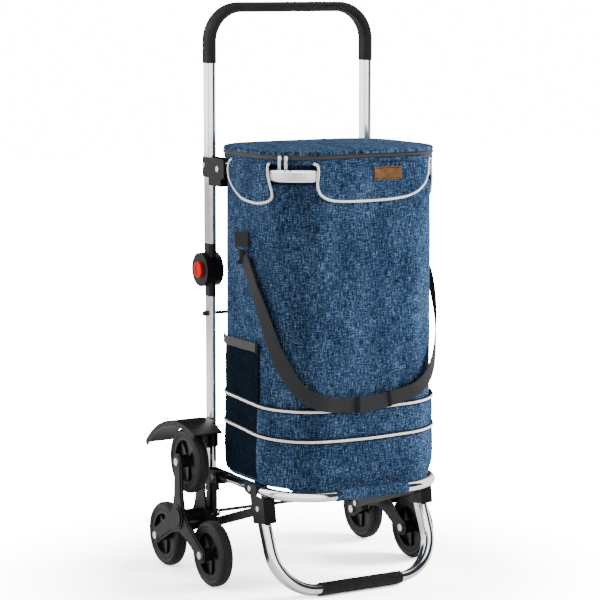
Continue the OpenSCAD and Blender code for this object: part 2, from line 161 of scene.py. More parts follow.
def relief(s, z):
    """Soft unevenness of the cloth in mm, the same for every layer at a place."""
    s, z = np.broadcast_arrays(np.asarray(s, float), np.asarray(z, float))
    out = np.empty(s.size)
    for i, (a, b) in enumerate(zip(s.ravel(), z.ravel())):
        out[i] = (
            1.5 * noise.noise(Vector((a / 70, b / 210, 3.1)))
            + 0.9 * noise.noise(Vector((a / 30, b / 75, 8.7)))
            + 0.4 * noise.noise(Vector((a / 14, b / 20, 1.3)))
        )
    return out.reshape(s.shape)


def on_bag(s, z, off):
    """Points at arc length s, height z and distance off outside the body's plan."""
    s, z, off = np.broadcast_arrays(
        np.asarray(s, float), np.asarray(z, float), np.asarray(off, float)
    )
    x, y, nx, ny = ring(s)
    return np.stack([x + nx * off, y + ny * off, z], axis=-1)


def normals_at(s):
    _, _, nx, ny = ring(s)
    return np.stack([nx, ny, np.zeros_like(nx)], axis=-1)


def smooth(a, b, x):
    t = np.clip((np.asarray(x, float) - a) / (b - a), 0, 1)
    return t * t * (3 - 2 * t)


def grid_piece(name, P, mat, uv, thick, inward=None):
    """A cloth layer of that thickness from a grid of points, closed at its edges."""
    r, c = P.shape[:2]
    if inward is None:
        n = np.cross(np.gradient(P, axis=1), np.gradient(P, axis=0))
        n /= np.maximum(np.linalg.norm(n, axis=2, keepdims=True), 1e-9)
    else:
        n = inward
    Q = P - n * thick
    V = np.concatenate([P.reshape(-1, 3), Q.reshape(-1, 3)])
    N = r * c
    faces = []
    for i in range(r - 1):
        for j in range(c - 1):
            a = i * c + j
            faces.append((a, a + 1, a + c + 1, a + c))
            faces.append((N + a, N + a + c, N + a + c + 1, N + a + 1))
    for j in range(c - 1):
        faces.append((j + 1, j, N + j, N + j + 1))
        a = (r - 1) * c + j
        faces.append((a, a + 1, N + a + 1, N + a))
    for i in range(r - 1):
        a, b = i * c, (i + 1) * c
        faces.append((a, b, N + b, N + a))
        a, b = i * c + c - 1, (i + 1) * c + c - 1
        faces.append((b, a, N + a, N + b))
    return add(
        name, V, faces, mat, np.concatenate([uv.reshape(-1, 2), uv.reshape(-1, 2)])
    )


def patch(name, outline, step, off, thick, mat):
    """A cloth piece cut to an outline in (arc length, height), lying at off(s, z) outside the body's plan."""
    outline = np.asarray(outline, float)
    lo, hi = outline.min(0), outline.max(0)
    pts = [Vector(p) for p in outline]
    nb = len(pts)
    xs = np.arange(lo[0] + step / 2, hi[0], step)
    zs = np.arange(lo[1] + step / 2, hi[1], step)
    seg_a, seg_b = outline, np.roll(outline, -1, axis=0)
    for x in xs:
        for z in zs:
            inside = False
            for (x1, z1), (x2, z2) in zip(seg_a, seg_b):
                if (z1 > z) != (z2 > z) and x < (x2 - x1) * (z - z1) / (z2 - z1) + x1:
                    inside = not inside
            if not inside:
                continue
            d = seg_b - seg_a
            t = np.clip(
                ((np.array([x, z]) - seg_a) * d).sum(1) / np.maximum((d * d).sum(1), 1e-9),
                0,
                1,
            )
            near = np.linalg.norm(seg_a + t[:, None] * d - [x, z], axis=1).min()
            if near > step * 0.45:
                pts.append(Vector((x, z)))
    got = geometry.delaunay_2d_cdt(
        pts, [(i, (i + 1) % nb) for i in range(nb)], [], 1, 1e-4
    )
    flat = np.array([list(v) for v in got[0]])
    tris = [tuple(f) for f in got[2]]
    fixed = []
    for a, b, c in tris:
        u, v = flat[b] - flat[a], flat[c] - flat[a]
        fixed.append((a, b, c) if u[0] * v[1] - u[1] * v[0] > 0 else (a, c, b))
    o = off(flat[:, 0], flat[:, 1])
    outer = on_bag(flat[:, 0], flat[:, 1], o)
    inner = on_bag(flat[:, 0], flat[:, 1], o - thick)
    N = len(flat)
    count = {}
    for f in fixed:
        for k in range(3):
            count[(f[k], f[(k + 1) % 3])] = 1
    faces = list(fixed) + [(N + c, N + b, N + a) for a, b, c in fixed]
    for a, b in count:
        if (b, a) not in count:
            faces.append((b, a, N + a, N + b))
    return add(
        name, np.concatenate([outer, inner]), faces, mat, np.concatenate([flat, flat])
    )


def profile_path(name, pts, nrm, rn, rb, mat, sides=12, closed=False, square=1.0):
    """A bar along pts: rn is its half size along the normal, rb its half size across."""
    pts, nrm = np.asarray(pts, float), np.asarray(nrm, float)
    if closed:
        tan = np.roll(pts, -1, axis=0) - np.roll(pts, 1, axis=0)
    else:
        tan = np.gradient(pts, axis=0)
    tan /= np.maximum(np.linalg.norm(tan, axis=1, keepdims=True), 1e-9)
    nrm = nrm - (nrm * tan).sum(1, keepdims=True) * tan
    nrm /= np.maximum(np.linalg.norm(nrm, axis=1, keepdims=True), 1e-9)
    bi = np.cross(tan, nrm)
    ang = (np.arange(sides) + 0.5) / sides * 2 * math.pi
    ca, sa = np.cos(ang), np.sin(ang)
    ca = np.sign(ca) * np.abs(ca) ** square
    sa = np.sign(sa) * np.abs(sa) ** square
    rn, rb = np.broadcast_to(rn, len(pts)), np.broadcast_to(rb, len(pts))
    V = (
        pts[:, None, :]
        + nrm[:, None, :] * (ca[None, :] * rn[:, None])[:, :, None]
        + bi[:, None, :] * (sa[None, :] * rb[:, None])[:, :, None]
    )
    n = len(pts)
    faces = []
    for i in range(n if closed else n - 1):
        k = (i + 1) % n
        for j in range(sides):
            m = (j + 1) % sides
            faces.append((i * sides + j, k * sides + j, k * sides + m, i * sides + m))
    if not closed:
        faces.append(tuple(range(sides)))
        faces.append(tuple((n - 1) * sides + j for j in reversed(range(sides))))
    run = np.concatenate([[0], np.cumsum(np.linalg.norm(np.diff(pts, axis=0), axis=1))])
    uv = np.stack(
        [
            np.repeat(run, sides),
            np.tile(sa, n) * np.repeat(rb, sides),
        ],
        axis=1,
    )
    return add(name, V.reshape(-1, 3), faces, mat, uv)


def round_box(name, centre, size, mat, bevel=1.0, turn=None, uv=True):
    """A box with rounded edges; turn is a 3x3 matrix of its axes."""
    import bmesh

    bm = bmesh.new()
    bmesh.ops.create_cube(bm, size=1)
    for v in bm.verts:
        v.co = Vector([v.co[i] * size[i] for i in range(3)])
    bmesh.ops.bevel(
        bm, geom=bm.edges[:] + bm.verts[:], offset=bevel, segments=3, affect="EDGES"
    )
    co = np.array([v.co for v in bm.verts])
    faces = [[v.index for v in f.verts] for f in bm.faces]
    bm.free()
    flat = co[:, :2].copy() if size[1] > size[2] else co[:, [0, 2]].copy()
    if turn is not None:
        co = co @ np.asarray(turn, float)
    return add(name, co + np.asarray(centre, float), faces, mat, flat if uv else None)


def spin_x(name, prof, centre, mat, n=96):
    """A ring turned about X: prof is a closed loop of (radius, x) in mm."""
    prof = np.asarray(prof, float)
    m = len(prof)
    V, faces, uv = [], [], []
    for i in range(n):
        a = i / n * 2 * math.pi
        for r, x in prof:
            V.append(
                (x + centre[0], centre[1] + r * math.cos(a), centre[2] + r * math.sin(a))
            )
            uv.append((a * 50, x))
        for j in range(m):
            k, l = (i + 1) % n, (j + 1) % m
            faces.append((i * m + j, i * m + l, k * m + l, k * m + j))
    return add(name, V, faces, mat, uv, sharp=35)


def closed_loop(pts, n, radius=0):
    """n evenly spaced points along the closed or open line through pts."""
    pts = np.asarray(pts, float)
    d = np.concatenate([[0], np.cumsum(np.linalg.norm(np.diff(pts, axis=0), axis=1))])
    t = np.linspace(0, d[-1], n)
    return np.stack([np.interp(t, d, pts[:, k]) for k in range(pts.shape[1])], axis=1)


def spline(pts, n):
    """n points of a Catmull-Rom curve through pts, evenly spaced."""
    pts = np.asarray(pts, float)
    P = np.concatenate([[2 * pts[0] - pts[1]], pts, [2 * pts[-1] - pts[-2]]])
    out = []
    for i in range(1, len(P) - 2):
        a, b, c, d = P[i - 1], P[i], P[i + 1], P[i + 2]
        for t in np.linspace(0, 1, 24, endpoint=False):
            out.append(
                0.5
                * (
                    2 * b
                    + (c - a) * t
                    + (2 * a - 5 * b + 4 * c - d) * t**2
                    + (3 * b - a - 3 * c + d) * t**3
                )
            )
    out.append(pts[-1])
    return closed_loop(np.array(out), n)


# ---------------------------------------------------------------- materials
class Mat:
    def __init__(self, name):
        self.mat = bpy.data.materials.new(name)
        self.mat.use_nodes = True
        self.t = self.mat.node_tree
        self.t.nodes.clear()
        self.out = self.t.nodes.new("ShaderNodeOutputMaterial")
        self.b = self.t.nodes.new("ShaderNodeBsdfPrincipled")
        self.t.links.new(self.b.outputs[0], self.out.inputs[0])

    def set(self, **kw):
        for k, v in kw.items():
            self.b.inputs[k.replace("_", " ")].default_value = v
        return self

    def link(self, a, b):
        self.t.links.new(a, b)

    def new(self, kind, **props):
        n = self.t.nodes.new(kind)
        for k, v in props.items():
            setattr(n, k, v)
        return n

    def coords(self, scale, attribute=None):
        if attribute:
            c = self.new("ShaderNodeAttribute", attribute_name=attribute)
            src = c.outputs["Vector"]
        else:
            c = self.new("ShaderNodeTexCoord")
            src = c.outputs["Object"]
        m = self.new("ShaderNodeMapping")
        m.inputs["Scale"].default_value = scale
        self.link(src, m.inputs["Vector"])
        return m.outputs["Vector"]

    def noise(self, vec, scale=1.0, detail=3.0, rough=0.5):
        n = self.new("ShaderNodeTexNoise")
        n.inputs["Scale"].default_value = scale
        n.inputs["Detail"].default_value = detail
        n.inputs["Roughness"].default_value = rough
        self.link(vec, n.inputs["Vector"])
        return n.outputs["Fac"]

    def math(self, op, a, b):
        n = self.new("ShaderNodeMath", operation=op)
        for i, v in enumerate((a, b)):
            if isinstance(v, (int, float)):
                n.inputs[i].default_value = v
            else:
                self.link(v, n.inputs[i])
        return n.outputs[0]

    def ramp(self, fac, stops):
        n = self.new("ShaderNodeValToRGB")
        e = n.color_ramp.elements
        while len(e) < len(stops):
            e.new(0.5)
        for k, (p, c) in enumerate(stops):
            e[k].position = p
            e[k].color = (*c, 1) if len(c) == 3 else c
        self.link(fac, n.inputs["Fac"])
        return n.outputs["Color"]

    def span(self, fac, a, b, c, d):
        n = self.new("ShaderNodeMapRange")
        for k, v in zip(("From Min", "From Max", "To Min", "To Max"), (a, b, c, d)):
            n.inputs[k].default_value = v
        self.link(fac, n.inputs["Value"])
        return n.outputs[0]

    def bump(self, height, strength, distance):
        n = self.new("ShaderNodeBump")
        n.inputs["Strength"].default_value = strength
        n.inputs["Distance"].default_value = distance
        self.link(height, n.inputs["Height"])
        self.link(n.outputs[0], self.b.inputs["Normal"])


def cloth_material(name, dark, middle, light, sheen=0.15):
    m = Mat(name)
    warp = m.noise(m.coords((520, 58, 1), "weave"), 1, 3, 0.62)
    weft = m.noise(m.coords((66, 560, 1), "weave"), 1, 3, 0.62)
    cloud = m.noise(m.coords((22, 9, 1), "weave"), 1, 2, 0.5)
    speck = m.noise(m.coords((330, 330, 1), "weave"), 1, 1, 0.5)
    f = m.math("ADD", m.math("MULTIPLY", warp, 0.36), m.math("MULTIPLY", weft, 0.30))
    f = m.math("ADD", f, m.math("MULTIPLY", cloud, 0.10))
    f = m.math("ADD", f, m.math("MULTIPLY", speck, 0.24))
    m.link(
        m.ramp(f, [(0.412, dark), (0.508, middle), (0.615, light)]),
        m.b.inputs["Base Color"],
    )
    threads = m.math(
        "ADD",
        m.noise(m.coords((1500, 300, 1), "weave"), 1, 1),
        m.noise(m.coords((300, 1500, 1), "weave"), 1, 1),
    )
    m.bump(threads, 0.35, 0.0004)
    m.set(Roughness=0.85, Sheen_Weight=sheen, Sheen_Roughness=0.5)
    m.b.inputs["Specular IOR Level"].default_value = 0.03
    return m.mat


def plastic(name, colour, rough, grain=2200.0, strength=0.12, spec=0.5, vary=0.25):
    m = Mat(name)
    n = m.noise(m.coords((1, 1, 1)), grain, 2)
    big = m.noise(m.coords((1, 1, 1)), 22, 2)
    lo = tuple(c * (1 - vary) for c in colour)
    hi = tuple(min(1, c * (1 + vary)) for c in colour)
    m.link(m.ramp(big, [(0.3, lo), (0.7, hi)]), m.b.inputs["Base Color"])
    m.link(m.span(big, 0.3, 0.7, rough * 0.88, min(1, rough * 1.12)), m.b.inputs["Roughness"])
    m.bump(n, strength, 0.0002)
    m.b.inputs["Specular IOR Level"].default_value = spec * 0.45
    return m.mat


def metal(name, colour, rough, vary=0.25):
    m = Mat(name)
    n = m.noise(m.coords((1, 1, 1)), 45, 3)
    fine = m.noise(m.coords((1, 1, 1)), 900, 2)
    m.link(
        m.ramp(n, [(0.3, tuple(c * 0.94 for c in colour)), (0.7, colour)]),
        m.b.inputs["Base Color"],
    )
    m.link(m.span(n, 0.3, 0.7, rough * (1 - vary), rough * (1 + vary)), m.b.inputs["Roughness"])
    m.bump(fine, 0.02, 0.0001)
    m.set(Metallic=1.0)
    return m.mat


blue = cloth_material("blue_cloth", (0.0012, 0.0028, 0.0068), (0.0215, 0.050, 0.104), (0.140, 0.222, 0.370), 0.0)
navy = cloth_material("navy_cloth", (0.0004, 0.0012, 0.003), (0.0022, 0.0056, 0.0115), (0.008, 0.016, 0.028), 0.0)
lining = cloth_material("lining_cloth", (0.10, 0.10, 0.11), (0.16, 0.16, 0.17), (0.24, 0.24, 0.25), 0.05)
aluminium = metal("aluminium", (0.90, 0.90, 0.905), 0.10)
steel = metal("steel", (0.80, 0.80, 0.80), 0.24)
black_plastic = plastic("black_plastic", (0.006, 0.006, 0.0064), 0.36, spec=0.32)
black_metal = plastic("black_metal", (0.030, 0.030, 0.031), 0.40, 1500, 0.15)
grip_rubber = plastic("grip_rubber", (0.008, 0.008, 0.0085), 0.60, 1300, 0.35, 0.45)
red_plastic = plastic("red_plastic", (0.66, 0.003, 0.002), 0.34, 900, 0.03, 0.2)
tyre_rubber = plastic("tyre_rubber", (0.013, 0.013, 0.0135), 0.46, 1100, 0.25, 0.4)
rim_plastic = plastic("rim_plastic", (0.006, 0.006, 0.0065), 0.34)
white_cord = plastic("white_piping", (0.97, 0.97, 0.96), 0.5, 900, 0.2, 0.4, 0.03)
black_tape = plastic("black_tape", (0.010, 0.011, 0.013), 0.8, 900, 0.3, 0.2)
board_grey = plastic("board", (0.10, 0.10, 0.10), 0.8, 500, 0.2, 0.2)


def webbing_material(name, colour):
    m = Mat(name)
    v = m.coords((1, 1, 1), "weave")
    w = m.new("ShaderNodeTexWave", wave_type="BANDS", bands_direction="Y")
    w.inputs["Scale"].default_value = 130
    w.inputs["Distortion"].default_value = 0.6
    m.link(v, w.inputs["Vector"])
    rib = m.noise(m.coords((1400, 260, 1), "weave"), 1, 1)
    f = m.math("ADD", m.math("MULTIPLY", w.outputs["Fac"], 0.4), m.math("MULTIPLY", rib, 0.6))
    m.link(
        m.ramp(f, [(0.2, tuple(c * 0.72 for c in colour)), (0.8, tuple(c * 1.25 for c in colour))]),
        m.b.inputs["Base Color"],
    )
    m.bump(f, 0.35, 0.0004)
    m.set(Roughness=0.78)
    m.b.inputs["Specular IOR Level"].default_value = 0.25
    return m.mat


webbing = webbing_material("webbing", (0.022, 0.022, 0.024))
elastic = webbing_material("elastic", (0.060, 0.060, 0.062))


def zip_material(name, dark, light):
    m = Mat(name)
    sep = m.new("ShaderNodeSeparateXYZ")
    m.link(m.coords((1, 1, 1), "weave"), sep.inputs[0])
    # teeth along the length, mixed with fine noise
    teeth = m.new("ShaderNodeTexWave", wave_type="BANDS", bands_direction="X")
    teeth.inputs["Scale"].default_value = 210
    m.link(m.coords((1, 1, 1), "weave"), teeth.inputs["Vector"])
    n = m.noise(m.coords((260, 900, 1), "weave"), 1, 2)
    f = m.math("ADD", m.math("MULTIPLY", teeth.outputs["Fac"], 0.45), m.math("MULTIPLY", n, 0.55))
    m.link(
        m.ramp(f, [(0.25, dark), (0.75, light)]),
        m.b.inputs["Base Color"],
    )
    m.bump(f, 0.5, 0.0006)
    m.set(Roughness=0.5)
    return m.mat


# dark zip tape, made near black as painted shade: its darkness also stands for the shadow line under the lid's overhang
zip_tape_and_shade = zip_material("zip_tape_and_shade", (0.003, 0.003, 0.0035), (0.016, 0.016, 0.018))
zip_teeth = zip_material("zip_teeth", (0.012, 0.0115, 0.011), (0.075, 0.070, 0.064))


def leather_material():
    m = Mat("leather")
    v = m.new("ShaderNodeTexVoronoi", feature="DISTANCE_TO_EDGE")
    v.inputs["Scale"].default_value = 900
    m.link(m.coords((1, 1, 1)), v.inputs["Vector"])
    n = m.noise(m.coords((1, 1, 1)), 140, 3)
    m.link(
        m.ramp(n, [(0.3, (0.085, 0.034, 0.007)), (0.7, (0.200, 0.086, 0.018))]),
        m.b.inputs["Base Color"],
    )
    m.bump(v.outputs["Distance"], 0.3, 0.0003)
    m.set(Roughness=0.55)
    return m.mat


leather = leather_material()

LOOK = {
    "aluminium": aluminium,
    "steel": steel,
    "black_plastic": black_plastic,
    "black_metal": black_metal,
    "grip_rubber": grip_rubber,
    "red_plastic": red_plastic,
    "tyre": tyre_rubber,
    "blue_fabric": blue,
    "dark_fabric": navy,
    "webbing": webbing,
    "leather": leather,
    "board": board_grey,
}
slot_of = {}
for part in frame["record"].get("subparts", []):
    slot_of[part["node"]] = part.get("material_slot")
for name, obj in frame["nodes"].items():
    obj.data.materials.clear()
    obj.data.materials.append(LOOK.get(slot_of.get(name), black_plastic))
for name, look_of in {
    "rim_left_top": rim_plastic,
    "rim_left_front": rim_plastic,
    "rim_left_back": rim_plastic,
    "rim_right_top": rim_plastic,
    "rim_right_front": rim_plastic,
    "rim_right_back": rim_plastic,
}.items():
    frame["nodes"][name].data.materials[0] = look_of


def soft(obj, slot, *nodes, body="frame"):
    """A piece of the bag: rides on body, stands for nodes."""
    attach(obj, body)
    if nodes:
        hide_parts(*nodes)
    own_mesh(obj)
    return obj


# ---------------------------------------------------------------- bag body
def drop(s):
    """How far the bottom edge sags between the legs of the hoop, behind its front bar."""
    x, _, _, ny = ring(s)
    return 9.0 * smooth(0.2, 0.9, -ny) * (1 - smooth(134, 152, np.abs(x)))


cols = np.linspace(0, PERIM, 291)
zs = np.concatenate(
    [
        200.5 + 9 * (1 - np.cos(np.linspace(0, math.pi / 2, 7))),
        np.linspace(213, 700, 108),
        np.linspace(704, 733, 9),
    ]
)
S, Z = np.meshgrid(cols, zs)
x_, y_, nx_, ny_ = ring(cols)
edge = np.where(zs < 209.5, 9 * (1 - np.sqrt(np.clip(1 - ((209.5 - zs) / 9) ** 2, 0, 1))), 0)
front_w = np.clip(-ny_, 0, 1) ** 2
back_w = np.clip(ny_, 0, 1)
side_w = nx_**2
fill = np.sin(np.clip((Z - 205) / 520, 0, 1) * math.pi) ** 0.6
wave = relief(S, Z) * smooth(203, 240, Z) * (1 - smooth(690, 735, Z)) * (1 - 0.6 * back_w)[None, :]
low = drop(cols)[None, :] / 9
off = wave - 1.2 - edge[:, None] * (1 - 0.6 * low) + fill * (1.6 * front_w + 1.0 * side_w)[None, :]
off -= (1.6 * back_w)[None, :]
rows = [on_bag(cols, z - drop(cols) * (1 - smooth(203, 245, z)), off[i]) for i, z in enumerate(zs)]
uvs = [np.stack([cols, np.full_like(cols, z)], axis=1) for z in zs]
# the cloth passes under the hoop, up inside it, and out over it to the hem
inset = 21 * nx_**2 + 16.5 * np.clip(-ny_, 0, 1) ** 2 + 1.0 * back_w
path = [
    (736.5, 0.10),
    (739.2, 0.40),
    (741.0, 0.75),
    (744.0, 0.96),
    (750.0, 1.0),
    (758.0, 1.0),
    (764.0, 0.99),
    (768.0, 0.9),
    (771.2, 0.62),
    (773.4, 0.3),
    (774.6, 0.05),
]
run = 733.0
for z, k in path:
    run += 6
    rows.append(on_bag(cols, z, -inset * k - 1.2))
    uvs.append(np.stack([cols, np.full_like(cols, run)], axis=1))
for z, o in ((774.8, 2.2), (776.0, 3.0), (779.0, 3.1), (782.0, 2.9)):
    run += 3
    rows.append(on_bag(cols, z, o))
    uvs.append(np.stack([cols, np.full_like(cols, run)], axis=1))
P = np.stack(rows)
body = grid_piece("bag_cloth", P, blue, np.stack(uvs), 2.4)
soft(body, "blue_fabric", "bag_body", "bag_neck")

# bottom of the bag: a shallow tray of cloth, flat where it lies on the legs
bs = np.linspace(0, PERIM, 121)[:-1]
bx, by, bnx, bny = ring(bs)
bd = drop(bs)
tray = []
for k, (inset_b, lift_b) in enumerate(((0, 0.0), (6, 0.4), (16, 0.75), (34, 1.0))):
    q = 9.5 - 5.4 * bd / 9 + inset_b
    tray.append(np.stack([bx - bnx * q, by - bny * q, 200.6 - bd * (1 - lift_b)], axis=1))
n = len(bs)
V = np.concatenate([t + [0, 0, dz_] for dz_ in (0, 2.2) for t in tray])
faces = []
for layer_k in (0, 1):
    o_ = layer_k * 4 * n
    for k in range(3):
        for i in range(n):
            q = (o_ + k * n + i, o_ + k * n + (i + 1) % n, o_ + (k + 1) * n + (i + 1) % n, o_ + (k + 1) * n + i)
            faces.append(q if layer_k == 0 else q[::-1])
    cap = tuple(range(o_ + 3 * n, o_ + 4 * n))
    faces.append(cap if layer_k == 0 else cap[::-1])
faces += [((i + 1) % n, i, 4 * n + i, 4 * n + (i + 1) % n) for i in range(n)]
bottom = add("bag_bottom", V, faces, blue, V[:, :2])
soft(bottom, "blue_fabric")

# ---------------------------------------------------------------- pockets
LEFT_END, RIGHT_END = 176.0, PERIM - 176.0  # back edges of the pockets
LEFT_DARK, RIGHT_DARK = 321.0, PERIM - 321.0  # where the dark side cloth ends


def piping_line(s, middle, side):
    """Height of a piping line round the bag: lower in the middle of the front."""
    c = PERIM / 2
    t = np.clip(np.abs(np.asarray(s, float) - c) / 360, 0, 1)
    return middle + (side - middle) * t**1.5


def upper(s):
    return piping_line(s, 338.5, 351)


def lower(s):
    return piping_line(s, 284.5, 300)


def layer(name, mat, slot, s0, s1, bottom_z, top_z, lift, bulge, *nodes, rows_n=30, thick=1.8):
    c = np.linspace(s0, s1, max(12, int((s1 - s0) / 4)))
    t = np.linspace(0, 1, rows_n)
    S = np.broadcast_to(c, (rows_n, len(c)))
    lo = bottom_z(c) if callable(bottom_z) else np.full_like(c, bottom_z)
    hi = top_z(c) if callable(top_z) else np.full_like(c, top_z)
    Z = lo[None, :] + (hi - lo)[None, :] * t[:, None]
    _, _, nx, ny = ring(c)
    o = (
        relief(S, Z) * smooth(203, 240, Z)
        + lift
        + bulge * np.sin(math.pi * t[:, None]) ** 0.8
        + 1.6 * (np.clip(-ny, 0, 1) ** 2)[None, :]
    )
    # the pocket lies down onto the body at its back edges and at its foot
    down = np.minimum(smooth(170, 200, S), smooth(170, 200, PERIM - S))
    foot = smooth(203, 222, Z)
    o = o * (0.25 + 0.75 * down) * (0.2 + 0.8 * foot) + 0.6
    piece = grid_piece(name, on_bag(S, Z, o), mat, np.stack([S, Z], axis=-1), thick)
    soft(piece, slot, *nodes)
    return c, lo, hi, o


layer("pocket_low_front", blue, "blue_fabric", LEFT_DARK, RIGHT_DARK, lambda s: 205 - drop(s), lower, 3.4, 2.6, "bag_pockets")
layer("pocket_mid_front", blue, "blue_fabric", LEFT_DARK, RIGHT_DARK, lambda s: lower(s) - 5, upper, 2.2, 2.0)
layer("pocket_low_left", navy, "dark_fabric", LEFT_END, LEFT_DARK, 211, lower, 3.4, 2.6)
layer("pocket_mid_left", navy, "dark_fabric", LEFT_END, LEFT_DARK, lambda s: lower(s) - 5, upper, 2.2, 2.0)
layer("pocket_low_right", navy, "dark_fabric", RIGHT_DARK, RIGHT_END, 211, lower, 3.4, 2.6)
layer("pocket_mid_right", navy, "dark_fabric", RIGHT_DARK, RIGHT_END, lambda s: lower(s) - 5, upper, 2.2, 2.0)
layer("pocket_side_left", navy, "dark_fabric", LEFT_END, LEFT_DARK, lambda s: upper(s) - 5, 441, 1.8, 1.2)
layer("pocket_side_right", navy, "dark_fabric", RIGHT_DARK, RIGHT_END, lambda s: upper(s) - 5, 441, 1.8, 1.2)

for side, a, b in (("left", LEFT_END - 6, LEFT_DARK), ("right", RIGHT_DARK, RIGHT_END + 6)):
    c = np.linspace(a, b, 50)
    o = 4.4 + relief(c, np.full_like(c, 447.0)) * 0.8
    band = profile_path(
        "pocket_band_" + side, on_bag(c, 447.0, o), normals_at(c), 1.3, 8.2, elastic, 16, square=0.35
    )
    soft(band, "webbing")
    e = b if side == "left" else a
    tab_s = np.linspace(e - 4, e + 4, 5)
    tab = profile_path(
        "band_tab_" + side, on_bag(tab_s, 447.0, 5.0), normals_at(tab_s), 1.9, 9.0, black_tape, 16, square=0.35
    )
    soft(tab, "dark_fabric")

for k, (f, lift) in enumerate(((upper, 4.6), (lower, 5.6))):
    c = np.linspace(LEFT_END + 2, RIGHT_END - 2, 260)
    z = f(c)
    _, _, nx, ny = ring(c)
    down = np.minimum(smooth(170, 200, c), smooth(170, 200, PERIM - c))
    o = (relief(c, z) + lift + 1.6 * np.clip(-ny, 0, 1) ** 2) * (0.25 + 0.75 * down)
    tape = profile_path(
        f"pocket_tape_{k + 1}", on_bag(c, z, o - 0.6), normals_at(c), 1.5, 4.7, black_tape, 12, square=0.5
    )
    soft(tape, "dark_fabric")
    cord_piece = profile_path(
        f"pocket_piping_{k + 1}", on_bag(c, z, o + 0.9), normals_at(c), 1.6, 2.3, white_cord, 12
    )
    soft(cord_piece, "webbing")

# ---------------------------------------------------------------- flaps
LEFT_FLAP = [
    (229.8, 776), (218.6, 768.8), (214.0, 754.1), (220.2, 736.8), (235.0, 721.9),
    (257.2, 709.8), (286.7, 704.8), (318.7, 703.6), (342.1, 706.9), (353.9, 712.8),
    (357.0, 720.8), (355.0, 732.8), (351.3, 746.5), (348.7, 760.3), (348.8, 770.7), (353.0, 776.1),
]
FRONT_FLAP = [
    (429.7, 775.9), (436.5, 772.9), (438.6, 765.1), (438.2, 753.0), (436.9, 742.7),
    (438.6, 730.5), (446.3, 718.9), (463.8, 711.1), (490.1, 708.1), (541.2, 707.2),
    (582.5, 708.1), (613.7, 711.0), (634.4, 716.2), (650.3, 724.2), (662.2, 734.3),
    (669.4, 746.5), (672.8, 758.9), (673.9, 771.1), (677, 776.1),
]


def flap_off(s, z):
    over_hoop = smooth(714, 744, z)
    return 2.6 + 1.9 * over_hoop + 0.5 * relief(s, z) + 0.9 * (1 - smooth(703, 716, z))


for name, line, nodes in (
    ("flap_left", LEFT_FLAP, ()),
    ("flap_front", FRONT_FLAP, ("flaps",)),
    ("flap_right", [(PERIM - a, b) for a, b in LEFT_FLAP][::-1], ()),
):
    curve = spline(line, 150)
    outline = np.concatenate([curve, [[curve[-1][0] - 8, 777.0], [curve[0][0] + 8, 777.0]]])
    if name == "flap_left" or name == "flap_right":
        outline = np.concatenate([curve, [[curve[-1][0] - 8, 777.0], [curve[0][0] + 8, 777.0]]])
    soft(patch(name, outline, 4.5, flap_off, 1.8, blue), "blue_fabric", *nodes)
    o = flap_off(curve[:, 0], curve[:, 1]) - 0.6
    soft(
        profile_path(
            name + "_piping",
            on_bag(curve[:, 0], curve[:, 1], o),
            normals_at(curve[:, 0]),
            2.0,
            2.3,
            white_cord,
            10,
        ),
        "webbing",
    )

# ---------------------------------------------------------------- label
c = np.linspace(PERIM / 2 + 10, PERIM / 2 + 66, 15)
zz = np.linspace(743, 766, 8)
SS, ZZ = np.meshgrid(c, zz)
label = grid_piece(
    "label", on_bag(SS, ZZ, flap_off(SS, ZZ) + 1.3), leather, np.stack([SS, ZZ], axis=-1), 1.3
)
soft(label, "leather", "label_patch")
stitch_pts = []
for k, (a, b, c_, d) in enumerate(((12.5, 745.5, 63.5, 745.5), (12.5, 763.5, 63.5, 763.5))):
    m = np.linspace(PERIM / 2 + a, PERIM / 2 + c_, 18)
    row = profile_path(
        f"label_stitch_{k + 1}",
        on_bag(m, np.full_like(m, b), flap_off(m, np.full_like(m, b)) + 1.4),
        normals_at(m),
        0.35,
        0.45,
        black_tape,
        6,
    )
    soft(row, "leather")

# ---------------------------------------------------------------- zip and lid
c = np.linspace(0, PERIM, 241)


def band(name, mat, slot, rows, body, nodes, thick):
    P = np.stack([on_bag(c, z, o) for z, o in rows])
    uv = np.stack([np.stack([c, np.full_like(c, z)], axis=1) for z, _ in rows])
    n = np.broadcast_to(normals_at(c), P.shape)
    return soft(grid_piece(name, P, mat, uv, thick, n), slot, *nodes, body=body)


# the lower tape's near-black colour is partly painted shade for the shadow under the lid's overhang
band("zip_lower_tape", zip_tape_and_shade, "dark_fabric", ((782.0, 2.6), (782.6, 3.6), (784.4, 3.6), (785.4, 3.2)), "frame", ("zip_track",), 9)
band("zip_lower_teeth", zip_teeth, "dark_fabric", ((784.3, 4.6), (784.6, 5.0), (785.6, 5.0), (785.8, 4.6)), "frame", (), 3)
band("zip_upper_teeth", zip_teeth, "dark_fabric", ((786.1, 4.6), (786.3, 5.0), (787.3, 5.0), (787.6, 4.6)), "lid", (), 3)
band("zip_upper_tape", zip_tape_and_shade, "dark_fabric", ((786.5, 3.2), (787.4, 3.6), (789.6, 3.8), (790.4, 3.6)), "lid", ("lid_panel",), 9)

